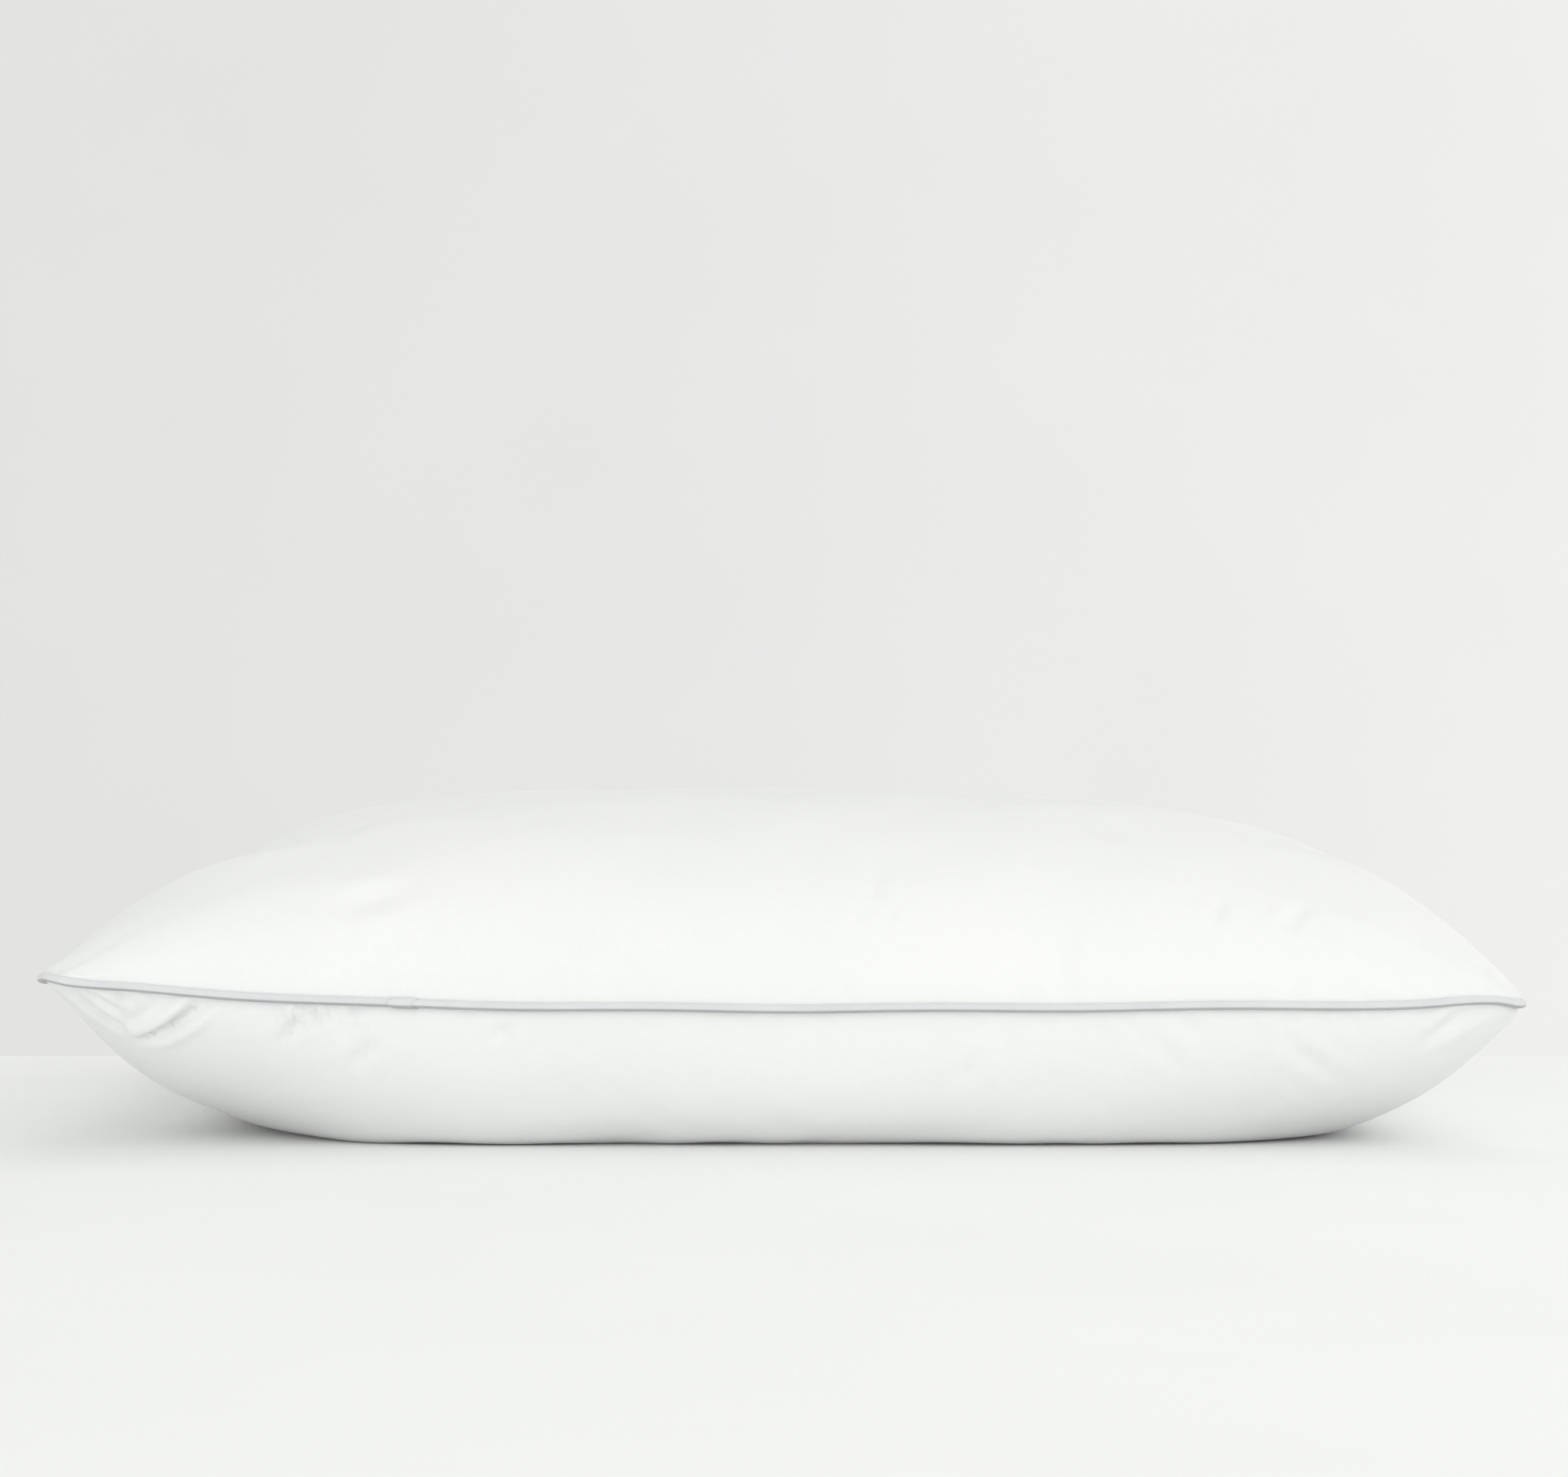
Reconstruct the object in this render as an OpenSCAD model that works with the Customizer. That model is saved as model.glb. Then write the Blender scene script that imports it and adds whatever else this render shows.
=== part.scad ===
// Bed pillow: two cotton panels sewn edge to edge round a fibre filling, with a satin
// piping in the seam. It lies on its lower panel, centred on the origin. The long sides
// run along X, and the front long side faces -Y. Lengths are in millimetres.

/* [Pillow] */
// Length from corner tip to corner tip, along X
pillow_w = 640; // [600:5:720]
// Depth from corner tip to corner tip, along Y
pillow_d = 486; // [440:5:540]
// Height of the crown above the surface it lies on
loft = 154; // [130:2:180]
// How far the middle of each side is drawn in by the filling
side_pull = 15; // [5:1:22]
// Radius of the sewn corners
corner_r = 16; // [16:1:25]

/* [Filling profile] */
// Power of the distance from the middle: higher keeps the top flat for longer
crown_power = 3; // [2:0.1:3.5]
// Power of the drop at the sides: lower makes a steeper side
side_power = 0.44; // [0.36:0.02:0.6]
// Depth that the lower panel would sag below the seam if nothing were under it
sag = 99; // [90:1:110]
// Gap between the filling and the panels
fill_gap = 0.4; // [0.3:0.1:1]
// Height over which the lower panel rounds off onto the surface it lies on
landing = 12; // [6:1:14]

/* [Seam] */
// Height of the seam at the middle of a long side
seam_h = 63; // [56:1:70]
// How much higher than that the two left corners stand
left_lift = 14; // [0:1:20]
// How much higher than that the two right corners stand
right_lift = 3; // [0:1:20]
// Width of the seam allowance that is turned in
allowance = 12; // [8:1:12]
// Thickness of the cotton panels
cloth = 0.6; // [0.5:0.1:0.8]

/* [Piping] */
// Outer diameter of the piping
piping_d = 3.8; // [3.6:0.1:4.6]
// Thickness of the satin strip round the piping cord
strip = 0.45; // [0.4:0.05:0.5]
// Place of the overlapped strip ends along the front side, counted in seam divisions
join_at = 10; // [9:1:22]
// Length of that overlap, as a share of one seam division
join_share = 0.4; // [0.3:0.05:0.6]

/* [Closing seam] */
// Length of the edge stitching that closes the filling opening at the right end
closing_l = 200; // [120:10:240]
// Spacing of its stitches
closing_pitch = 5; // [4:0.5:8]

/* [Label] */
// Width of the ribbon of the sewn-in label
label_w = 30; // [20:1:40]
// Length of the folded ribbon below its hinge line
label_l = 42; // [25:1:44]
// Place of the label's middle along the rear seam
label_x = 40; // [-50:10:50]

/* [Hidden] */

// The surfaces are grids of cells, closer together towards the seam
cells_x = 32;
cells_y = 26;
fill_cells_x = 26;
fill_cells_y = 20;
seam_count = 2 * (cells_x + cells_y);

// The seam's layers, as heights above and below its mid line
air = 0.05;
lip = strip + 2 * air;
stack = lip + cloth;
piping_r = piping_d / 2;
cord_r = piping_r - strip - 2 * air;
tube_sides = 8;
thread = 0.45;
stitch_line = 4.5;

// Powers of the distance from the middle in the corners' lift, along X and along Y
lift_power = 2.7;
lift_power_y = 2;

// The lower panel dips by this much at first, and is then cut level, so that it rests on one plane
skim = 0.3;
dip_slope = 0.1;
level_cut = 5;

// Thickness of the panels' upright sides, wide enough for the facets to keep clear of each other
wall = 0.9;

// Room that the filling leaves round the turned-in edges
fill_inset = allowance + 3;
fill_edge = 1;

// The label's fold line lies under the piping
hinge_bead = 0.45;
hinge_gap = 0.5;
hinge_n = -1.35;
hinge_drop = sqrt(pow(piping_r + hinge_gap + hinge_bead, 2) - pow(hinge_n, 2));
ribbon = 0.5;

top_h = loft - seam_h - lip;
closing_height = 3.2;
closing_length = 3.4;
closing_out = 0.1;

// Share of the full thickness along one direction, 1 in the middle and 0 at the seam
function crown(t) = pow(max(0, 1 - pow(abs(t), crown_power)), side_power);

// Share of the full thickness at a point of the pillow, for u and v from -1 to 1
function bulge(u, v) = crown(u) * crown(v);

// Height of the seam's mid line over the whole plan
function seam_z(u, v) =
    seam_h + pow(abs(v), lift_power_y) * pow(abs(u), lift_power) * (u < 0 ? left_lift : right_lift);

// A point of a square corner turned into a round one, for p and q from 0 to 1
function round_off(p, q) = p * sqrt(1 - q * q / 2);

// A height that follows z well above the floor, rounds off onto it and then dips by the skim
function landed(z, floor_z) =
    let (h = z - floor_z)
    floor_z + (
        h > landing ? h
        : h > -landing ? pow(h + landing, 2) / (4 * landing)
        : max(-skim, (h + landing) * dip_slope)
    );

// Plan position for u and v, with the outline moved in by inset
function plan(u, v, inset) =
    let (
        half_w = pillow_w / 2 - inset,
        half_d = pillow_d / 2 - inset,
        r = corner_r - inset,
        x = u * half_w,
        y = v * half_d,
        p = (abs(x) - half_w + r) / r,
        q = (abs(y) - half_d + r) / r,
        at_corner = p > 0 && q > 0,
        rx = at_corner ? sign(x) * (half_w - r + r * round_off(p, q)) : x,
        ry = at_corner ? sign(y) * (half_d - r + r * round_off(q, p)) : y
    )
    [
        rx * (1 - side_pull / half_w * (1 - pow(ry / half_d, 2))),
        ry * (1 - side_pull / half_d * (1 - pow(rx / half_w, 2)))
    ];

// Grid line i of n, from -1 to 1
function line(i, n) = -cos(180 * i / n);

// Grid position of seam point k, counted anticlockwise from the front left corner
function rim(k, nx, ny) =
    k < nx ? [k, 0]
    : k < nx + ny ? [nx, k - nx]
    : k < 2 * nx + ny ? [2 * nx + ny - k, ny]
    : [0, 2 * (nx + ny) - k];

// A point beside seam point k: n outward from the seam's mid line and z above it
function beside(k, n, z) =
    let (ij = rim(k % seam_count, cells_x, cells_y), u = line(ij[0], cells_x), v = line(ij[1], cells_y))
    concat(plan(u, v, -n), seam_z(u, v) + z);

function quad(a, b, c, d, flip) = flip ? [[a, c, b], [a, d, c]] : [[a, b, c], [a, c, d]];

function flat(lists) = [for (list = lists) for (item = list) item];

// An endless strip round the seam, with the same section everywhere
module seam_ring(section) {
    n = len(section);
    points = [for (k = [0:seam_count - 1]) for (s = section) beside(k, s[0], s[1])];
    faces = flat([
        for (k = [0:seam_count - 1]) for (s = [0:n - 1])
            let (k2 = (k + 1) % seam_count, s2 = (s + 1) % n)
            quad(k * n + s, k * n + s2, k2 * n + s2, k2 * n + s, false)
    ]);
    polyhedron(points, faces);
}

// A closed body between an outer and an inner grid of points, joined by loops round the edge
module closed_skin(outer, inner, loops, nx, ny, flip) {
    count = (nx + 1) * (ny + 1);
    around = 2 * (nx + ny);
    grid = flat([
        for (i = [0:nx - 1]) for (j = [0:ny - 1])
            let (a = i * (ny + 1) + j, b = a + ny + 1)
            quad(a, a + 1, b + 1, b, flip)
    ]);
    inner_grid = [for (f = grid) [f[0] + count, f[2] + count, f[1] + count]];
    edge = [for (k = [0:around - 1]) let (ij = rim(k, nx, ny)) ij[0] * (ny + 1) + ij[1]];
    chain = concat(
        [edge],
        [for (m = [0:1:len(loops) - 1]) [for (k = [0:around - 1]) 2 * count + m * around + k]],
        [[for (e = edge) e + count]]
    );
    bands = flat([
        for (m = [0:len(chain) - 2]) for (k = [0:around - 1])
            let (k2 = (k + 1) % around)
            quad(chain[m][k], chain[m][k2], chain[m + 1][k2], chain[m + 1][k], flip)
    ]);
    polyhedron(concat(outer, inner, flat(loops)), concat(grid, inner_grid, bands));
}

// Points of one face of a panel, a base and a bulge of the given depth away from the seam
function panel_grid(side, inset, base, depth, floor_z) = [
    for (i = [0:cells_x]) for (j = [0:cells_y])
        let (
            u = line(i, cells_x),
            v = line(j, cells_y),
            z = seam_z(u, v) + side * (base + depth * bulge(u, v))
        )
        concat(plan(u, v, inset), landed(z, floor_z))
];

// One cotton panel with its turned-in edge: side is 1 for the upper one and -1 for the lower
module panel(side, depth) {
    outer = panel_grid(side, piping_r, lip, depth, 0);
    inner = panel_grid(side, piping_r + wall, stack, depth - 2 * cloth, cloth + skim);
    loops = [
        for (z = [lip, stack])
            [for (k = [0:seam_count - 1]) beside(k, -allowance, side * z)]
    ];
    closed_skin(outer, inner, loops, cells_x, cells_y, side < 0);
}

module top_panel() {
    color("white") panel(1, top_h);
}

module bottom_panel() {
    color("whitesmoke")
        difference() {
            panel(-1, sag);
            translate([-pillow_w / 2, -pillow_d / 2, -level_cut])
                cube([pillow_w, pillow_d, level_cut]);
        }
}

// The filling fills the panels, short of their turned-in edges
module fibre_fill() {
    room = lip - cloth - fill_gap - fill_edge;
    function fill_grid(side, depth) = [
        for (i = [0:fill_cells_x]) for (j = [0:fill_cells_y])
            let (
                u = line(i, fill_cells_x),
                v = line(j, fill_cells_y),
                z = seam_z(u, v) + side * (fill_edge + (depth + room) * bulge(u, v))
            )
            concat(plan(u, v, fill_inset), landed(z, cloth + fill_gap + skim))
    ];
    color("snow")
        closed_skin(fill_grid(1, top_h), fill_grid(-1, sag), [], fill_cells_x, fill_cells_y, false);
}

// Angle s of the arc round the cord, which leaves its mouth open towards the seam
function arc_angle(s, mouth) = -180 + mouth + (360 - 2 * mouth) * s / tube_sides;

function on_circle(r, angle) = r * [cos(angle), sin(angle)];

// The satin strip: folded round the cord, with both edges lying together in the seam
module piping_cover() {
    inner_r = piping_r - strip;
    mouth = asin((strip + air) / piping_r);
    inner_mouth = asin(air / inner_r);
    color("lightsteelblue")
        seam_ring(concat(
            [[-allowance, -strip - air]],
            [for (s = [0:tube_sides]) on_circle(piping_r, arc_angle(s, mouth))],
            [[-allowance, strip + air], [-allowance, air]],
            [for (s = [tube_sides:-1:0]) on_circle(inner_r, arc_angle(s, inner_mouth))],
            [[-allowance, -air]]
        ));
}

module piping_cord() {
    step = 360 / tube_sides;
    color("ivory")
        seam_ring([for (s = [0:tube_sides - 1]) on_circle(cord_r, s * step)]);
}

// Where the strip's ends meet, one is folded back over the other as a short sleeve
module piping_join() {
    mouth = asin((strip + air) / piping_r);
    near_r = piping_r + 2 * air;
    section = concat(
        [for (s = [1:tube_sides - 1]) on_circle(near_r + strip, arc_angle(s, mouth))],
        [for (s = [tube_sides - 1:-1:1]) on_circle(near_r, arc_angle(s, mouth))]
    );
    n = len(section);
    shares = [0.5 - join_share / 2, 0.5 + join_share / 2];
    points = [
        for (share = shares) for (s = section)
            (1 - share) * beside(join_at, s[0], s[1]) + share * beside(join_at + 1, s[0], s[1])
    ];
    sides = flat([for (s = [0:n - 1]) let (s2 = (s + 1) % n) quad(s, s2, n + s2, n + s, false)]);
    half = n / 2;
    ends = flat([
        for (s = [0:half - 2])
            concat(
                quad(s, n - 1 - s, n - 2 - s, s + 1, false),
                quad(n + s, n + s + 1, 2 * n - 2 - s, 2 * n - 1 - s, false)
            )
    ]);
    color("slategray") polyhedron(points, concat(sides, ends));
}

// The two threads of the seam, one on each side of the layers they hold together
module seam_stitching() {
    color("gainsboro")
        for (side = [-1, 1]) {
            near = stack + air;
            low = side > 0 ? near : -near - thread;
            seam_ring([
                [-stitch_line - thread, low],
                [-stitch_line, low],
                [-stitch_line, low + thread],
                [-stitch_line - thread, low + thread]
            ]);
        }
}

// Edge stitching over the opening that the filling went in by, on both panels
module closing_stitching() {
    count = floor(closing_l / closing_pitch);
    function side_x(y) =
        (pillow_w / 2) * (1 - side_pull / (pillow_w / 2) * (1 - pow(y / (pillow_d / 2), 2)));
    color("gainsboro")
        for (side = [-1, 1]) for (s = [0:count - 1]) {
            y = (s - (count - 1) / 2) * closing_pitch;
            turn = atan2(side_x(y + closing_pitch) - side_x(y - closing_pitch), 2 * closing_pitch);
            z = seam_z(1, y / (pillow_d / 2)) + side * closing_height;
            translate([side_x(y) - piping_r + closing_out, y, z])
                rotate([0, 0, -turn])
                    cube([thread, closing_length, thread], center = true);
        }
}

// Overlocked threads that clasp the raw edges of all the layers
module overlock_stitching() {
    reach = 3;
    near = stack + air;
    far = near + thread;
    inner_n = -allowance - air;
    outer_n = inner_n - thread;
    color("gainsboro")
        seam_ring([
            [outer_n, -far],
            [reach + outer_n, -far],
            [reach + outer_n, -near],
            [inner_n, -near],
            [inner_n, near],
            [reach + outer_n, near],
            [reach + outer_n, far],
            [outer_n, far]
        ]);
}

// A folded ribbon that hangs from the rear seam, just under the piping
module care_label() {
    v_seam = pillow_d / 2 - side_pull * (1 - pow(label_x / (pillow_w / 2), 2));
    z = seam_z(label_x / (pillow_w / 2), 1) - hinge_drop;
    color("white")
        translate([label_x, v_seam + hinge_n, z])
            union() {
                rotate([0, 90, 0]) cylinder(r = hinge_bead, h = label_w, center = true, $fn = 24);
                translate([-label_w / 2, -ribbon / 2, -label_l]) cube([label_w, ribbon, label_l]);
            }
}

top_panel();
bottom_panel();
fibre_fill();
piping_cover();
piping_cord();
piping_join();
seam_stitching();
closing_stitching();
overlock_stitching();
care_label();
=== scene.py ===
"""Bed pillow on a pale floor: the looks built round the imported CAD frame.

The two cotton panels start from the filled shape that part.scad describes. Blender's Cloth then
lets them settle on the filling from their flat cut, folds and gathers are laid on top, and the
seam's parts follow the panels. Lengths are in metres.
"""

import math

import bpy
import numpy as np
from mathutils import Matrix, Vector
from mathutils.bvhtree import BVHTree


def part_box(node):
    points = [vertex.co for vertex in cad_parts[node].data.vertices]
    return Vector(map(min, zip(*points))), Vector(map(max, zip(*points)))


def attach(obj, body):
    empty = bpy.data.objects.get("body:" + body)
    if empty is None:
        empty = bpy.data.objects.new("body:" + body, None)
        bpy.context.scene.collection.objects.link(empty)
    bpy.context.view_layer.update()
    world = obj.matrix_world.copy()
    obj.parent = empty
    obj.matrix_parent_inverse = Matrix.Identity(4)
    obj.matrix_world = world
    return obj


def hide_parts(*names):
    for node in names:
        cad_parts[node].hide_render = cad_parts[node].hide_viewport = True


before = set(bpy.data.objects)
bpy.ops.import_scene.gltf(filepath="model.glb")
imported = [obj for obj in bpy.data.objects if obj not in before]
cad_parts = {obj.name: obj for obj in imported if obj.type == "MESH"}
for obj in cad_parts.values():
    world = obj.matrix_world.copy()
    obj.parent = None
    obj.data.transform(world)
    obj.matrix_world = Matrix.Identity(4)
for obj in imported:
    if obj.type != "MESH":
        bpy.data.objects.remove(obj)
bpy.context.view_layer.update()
scene = bpy.context.scene
rng = np.random.default_rng(20)

# ------------------------------------------------------------------ camera
CAMERA_AT = (0.0009, -2.043, 0.179)
CAMERA_LENS, SENSOR_W = 96.9, 36  # millimetres

camera_data = bpy.data.cameras.new("camera")
camera_data.lens = CAMERA_LENS
camera_data.sensor_width = SENSOR_W
camera_data.clip_start = 0.05
camera = bpy.data.objects.new("camera", camera_data)
camera.location = CAMERA_AT
camera.rotation_euler = (math.pi / 2, 0, 0)
scene.collection.objects.link(camera)
scene.camera = camera

# ------------------------------------------------------------------ sizes, as in the CAD part
PILLOW_W, PILLOW_D = 0.64, 0.486
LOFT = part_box("top_panel")[1].z
SIDE_PULL, CORNER_R = 0.015, 0.016
CROWN_POWER, SIDE_POWER = 3.0, 0.44
SEAM_H, LEFT_LIFT, RIGHT_LIFT = 0.063, 0.014, 0.003
LIFT_POWER_X, LIFT_POWER_Y = 2.7, 2.0
SAG, LANDING = 0.099, 0.005
CLOTH, ALLOWANCE, WALL = 0.0006, 0.012, 0.0009
PIPING_R, STRIP, CORD_R = 0.0019, 0.00045, 0.00135
AIR = 0.00005  # left between parts that lie together
LIP = STRIP + 2 * AIR  # from the seam's mid plane to the panel's edge
STACK = LIP + CLOTH
THREAD = 0.00045  # diameter
CUT_W, CUT_D = 0.66, 0.508  # sewn size of the panels, laid flat

# Grid of the simulation, and how many times finer the finished panels are
SIM_X, SIM_Y, FINER = 100, 76, 3
NX, NY = SIM_X * FINER, SIM_Y * FINER

# Small departures of the front seam from the formula: place, width and height, for u from -1 to 1
FRONT_SEAM = [(0.93, 0.06, 0.0014), (1.0, 0.03, -0.0012), (0.66, 0.14, 0.0006), (-0.93, 0.05, -0.0008)]


def crown(t):
    """Share of the full thickness along one direction, 1 in the middle and 0 at the seam."""
    return np.maximum(0, 1 - np.abs(t) ** CROWN_POWER) ** SIDE_POWER


def seam_height(u, v):
    """Height of the seam's mid line over the whole plan."""
    corner = np.abs(v) ** LIFT_POWER_Y * np.abs(u) ** LIFT_POWER_X
    height = SEAM_H + corner * np.where(u < 0, LEFT_LIFT, RIGHT_LIFT)
    front = np.clip(-v, 0, 1) ** 6
    for place, width, rise in FRONT_SEAM:
        height = height + rise * front * np.exp(-(((u - place) / width) ** 2))
    wave = 0.00035 * np.sin(9.3 * u + 1.1) * np.sin(3.1 * v + 0.4) + 0.0003 * np.sin(17.0 * u + 8.0 * v)
    return height + wave


def plan(u, v, inset):
    """Plan position for u and v from -1 to 1, with the outline moved in by inset."""
    half_w, half_d, r = PILLOW_W / 2 - inset, PILLOW_D / 2 - inset, CORNER_R - inset
    x, y = u * half_w, v * half_d
    p, q = (np.abs(x) - half_w + r) / r, (np.abs(y) - half_d + r) / r
    rounded = (p > 0) & (q > 0)
    p, q = np.clip(p, 0, 1), np.clip(q, 0, 1)
    x = np.where(rounded, np.sign(x) * (half_w - r + r * p * np.sqrt(1 - q * q / 2)), x)
    y = np.where(rounded, np.sign(y) * (half_d - r + r * q * np.sqrt(1 - p * p / 2)), y)
    pulled_x = x * (1 - SIDE_PULL / half_w * (1 - (y / half_d) ** 2))
    pulled_y = y * (1 - SIDE_PULL / half_d * (1 - (x / half_w) ** 2))
    return pulled_x, pulled_y


def landed(h):
    """A height that follows h well above the floor and rounds off onto it."""
    return np.where(h > LANDING, h, np.where(h > -LANDING, (h + LANDING) ** 2 / (4 * LANDING), 0))


CLOSER = 0.45  # the grid's lines lie this share closer together at the seam, and wider apart inside
BULGE = 0.085  # rise of the mid section that the lines are spaced along


def arc_shares(cells):
    """Places of the grid's lines along the arc of the mid section, from -1 to 1."""
    even = np.linspace(0, 1, cells // 2 + 1)
    shares = even + CLOSER * np.sin(math.pi * even) / math.pi
    return np.concatenate([-shares[:0:-1], shares])


def grid_lines(half, cells):
    """The same lines as u or v, from -1 to 1."""
    t = np.sin(np.linspace(0, math.pi / 2, 4001))
    steps = np.hypot(np.diff(t * half), np.diff(BULGE * crown(t)))
    arc = np.concatenate([[0], np.cumsum(steps)]) / np.sum(steps)
    shares = arc_shares(cells)
    return np.sign(shares) * np.interp(np.abs(shares), arc, t)


def grid(cells_x, cells_y):
    u = grid_lines(PILLOW_W / 2 - SIDE_PULL, cells_x)
    v = grid_lines(PILLOW_D / 2 - SIDE_PULL, cells_y)
    return np.meshgrid(u, v, indexing="ij")


# How much the corners thin out towards their tips, at the left and the right end of each panel
TIP_FLAT = {1: (1.0, 0.3), -1: (0.8, -0.15)}
TIP_REACH = 0.03  # how far in from the tip
DROP = LIP + 0.0003  # depth of the lower panel's edge under the seam line
HUG_IN, HUG_UP = 0.001, 0.00175  # where the upper panel's edge lies on the piping, from the seam line

# Where the upper panel stands higher or lower than the formula: x, y, half widths, rise. The first
# three are the trough behind the front left shoulder, the next two the shoulder and the full part
# behind the trough.
LUMPS_TOP = [
    (-0.262, -0.045, 0.034, 0.042, -0.01),
    (-0.222, -0.108, 0.034, 0.034, -0.0165),
    (-0.186, -0.178, 0.026, 0.028, -0.004),
    (-0.24, -0.15, 0.04, 0.022, 0.003),
    (-0.2, 0.06, 0.075, 0.08, 0.0045),
    (0.258, 0.04, 0.024, 0.08, 0.0045),
    (0.291, -0.01, 0.013, 0.06, -0.006),
    (0.1, 0.0, 0.07, 0.12, -0.0015),
    (0.15, -0.13, 0.06, 0.05, 0.001),
    (-0.06, 0.15, 0.07, 0.04, -0.002),
    (0.17, 0.16, 0.05, 0.035, 0.002),
]
# The same for the lower panel, which these lift towards its front and its front corners
LUMPS_LOW = [
    (0.0, -0.195, 0.19, 0.035, 0.004),
    (-0.236, -0.165, 0.056, 0.09, 0.0135),
    (0.235, -0.165, 0.05, 0.09, 0.008),
]


def lumps(x, y, places=LUMPS_TOP):
    """Rise of a panel at each point from a list of smooth bumps."""
    total = np.zeros_like(x)
    for cx, cy, wx, wy, rise in places:
        total += rise * np.exp(-(((x - cx) / wx) ** 2) - ((y - cy) / wy) ** 2)
    return total


LOW_POWER, LOW_DEPTH = 1.5, 1.18  # the lower panel leaves the front and rear seams at this curve
LOW_BEND = 8  # how sharply that curve turns level
LOW_ENDS = (1.1, 1.03)  # powers by which it rises towards its left and its right end


def undercut(v):
    """Share of the sag from front to rear: steep down to the floor, and level in the middle."""
    deep = np.maximum(LOW_DEPTH * crown(v) ** LOW_POWER, 1e-6)
    return (deep**-LOW_BEND + 1) ** (-1 / LOW_BEND)


def fullness(u, v, side):
    """Share of a panel's full depth, thinned out towards the tips."""
    x, y = plan(u, v, PIPING_R)
    to_tip = np.hypot(PILLOW_W / 2 - np.abs(x), PILLOW_D / 2 - np.abs(y))
    left, right = TIP_FLAT[side]
    if side > 0:
        share = crown(u) * crown(v)
    else:
        share = crown(u) ** np.where(u < 0, *LOW_ENDS) * undercut(v)
    return share * (1 - np.where(u < 0, left, right) * np.exp(-to_tip / TIP_REACH))


def filled(u, v, side):
    """The panel over the filling before it creases: side is 1 for the upper one, -1 for the lower."""
    x, y = plan(u, v, HUG_IN if side > 0 else PIPING_R)
    share = fullness(u, v, side)
    if side > 0:
        z = seam_height(u, v) + HUG_UP + (LOFT - SEAM_H - HUG_UP) * share + lumps(x, y) * share ** 0.7
    else:
        z = landed(seam_height(u, v) - DROP - SAG * share + lumps(x, y, LUMPS_LOW) * share)
    return np.stack([x, y, z], -1)


# ------------------------------------------------------------------ grids and meshes
def blurred(field, sigma):
    """A grid of vectors smoothed over sigma cells."""
    reach = int(3 * sigma)
    weights = np.exp(-0.5 * (np.arange(-reach, reach + 1) / sigma) ** 2)
    weights /= weights.sum()
    for axis in (0, 1):
        widths = [(reach, reach) if a == axis else (0, 0) for a in range(field.ndim)]
        padded = np.pad(field, widths, mode="edge")
        count = field.shape[axis]
        parts = [w * np.take(padded, range(k, k + count), axis) for k, w in enumerate(weights)]
        field = sum(parts)
    return field


def refined(field, times):
    """A grid of vectors on lines that many times closer together, through cubic B-splines."""
    for _ in range(2):
        cells = len(field) - 1
        ends = [2 * field[:1] - field[1:2], field, 2 * field[-1:] - field[-2:-1]]
        p = np.concatenate(ends)
        t = np.arange(cells * times + 1) / times
        i = np.minimum(t.astype(int), cells - 1)
        f = (t - i)[:, None, None]
        field = (
            (1 - f) ** 3 * p[i]
            + (3 * f**3 - 6 * f**2 + 4) * p[i + 1]
            + (-3 * f**3 + 3 * f**2 + 3 * f + 1) * p[i + 2]
            + f**3 * p[i + 3]
        ) / 6
        field = field.transpose(1, 0, 2)
    return field


def normals_of(points):
    """Unit normals of a grid of points, upward for a level grid."""
    n = np.cross(np.gradient(points, axis=0), np.gradient(points, axis=1))
    return n / np.maximum(np.linalg.norm(n, axis=-1, keepdims=True), 1e-12)


def rim(cells_x, cells_y):
    """Grid places round the edge, anticlockwise from the front left corner."""
    front = [(i, 0) for i in range(cells_x)]
    right = [(cells_x, j) for j in range(cells_y)]
    rear = [(i, cells_y) for i in range(cells_x, 0, -1)]
    left = [(0, j) for j in range(cells_y, 0, -1)]
    return np.array(front + right + rear + left)


def edge_places():
    """u and v of the finished panels' edge points, in the order of rim()."""
    u, v = grid(NX, NY)
    around = rim(NX, NY)
    return u[around[:, 0], around[:, 1]], v[around[:, 0], around[:, 1]]


def quads(index, flip):
    """Faces over a grid of point numbers."""
    corners = [index[:-1, :-1], index[1:, :-1], index[1:, 1:], index[:-1, 1:]]
    return np.stack(corners[::-1] if flip else corners, -1).reshape(-1, 4).tolist()


def edge_mask(shape):
    edge = np.zeros(shape, bool)
    edge[[0, -1]] = edge[:, [0, -1]] = True
    return edge


def joined(upper, lower):
    """Two grids as one closed mesh with the upper one's edge: points, faces, point numbers."""
    edge = edge_mask(upper.shape[:2])
    top_index = np.arange(edge.size).reshape(edge.shape)
    low_index = np.where(edge, top_index, 0)
    low_index[~edge] = edge.size + np.arange((~edge).sum())
    points = np.concatenate([upper.reshape(-1, 3), lower[~edge]])
    return points, quads(top_index, False) + quads(low_index, True), top_index, low_index


def band(a, b, flip=False):
    """Faces between two closed loops of point numbers; b may have half as many points as a."""
    faces = []
    if len(a) == len(b):
        for k in range(len(a)):
            k2 = (k + 1) % len(a)
            faces.append([a[k2], a[k], b[k], b[k2]])
    else:
        for k in range(len(b)):
            start, middle, end = a[2 * k], a[2 * k + 1], a[(2 * k + 2) % len(a)]
            here, there = b[k], b[(k + 1) % len(b)]
            faces += [[middle, start, here], [middle, here, there], [end, middle, there]]
    return [f[::-1] for f in faces] if flip else faces


def tube_faces(rings, sides, closed=False, first=0):
    """Faces between rings of points that follow each other, all with the same number of sides."""
    faces = []
    for ring in range(rings if closed else rings - 1):
        here, there = first + ring * sides, first + (ring + 1) % rings * sides
        for s in range(sides):
            s2 = (s + 1) % sides
            faces.append([here + s, there + s, there + s2, here + s2])
    return faces


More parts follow.
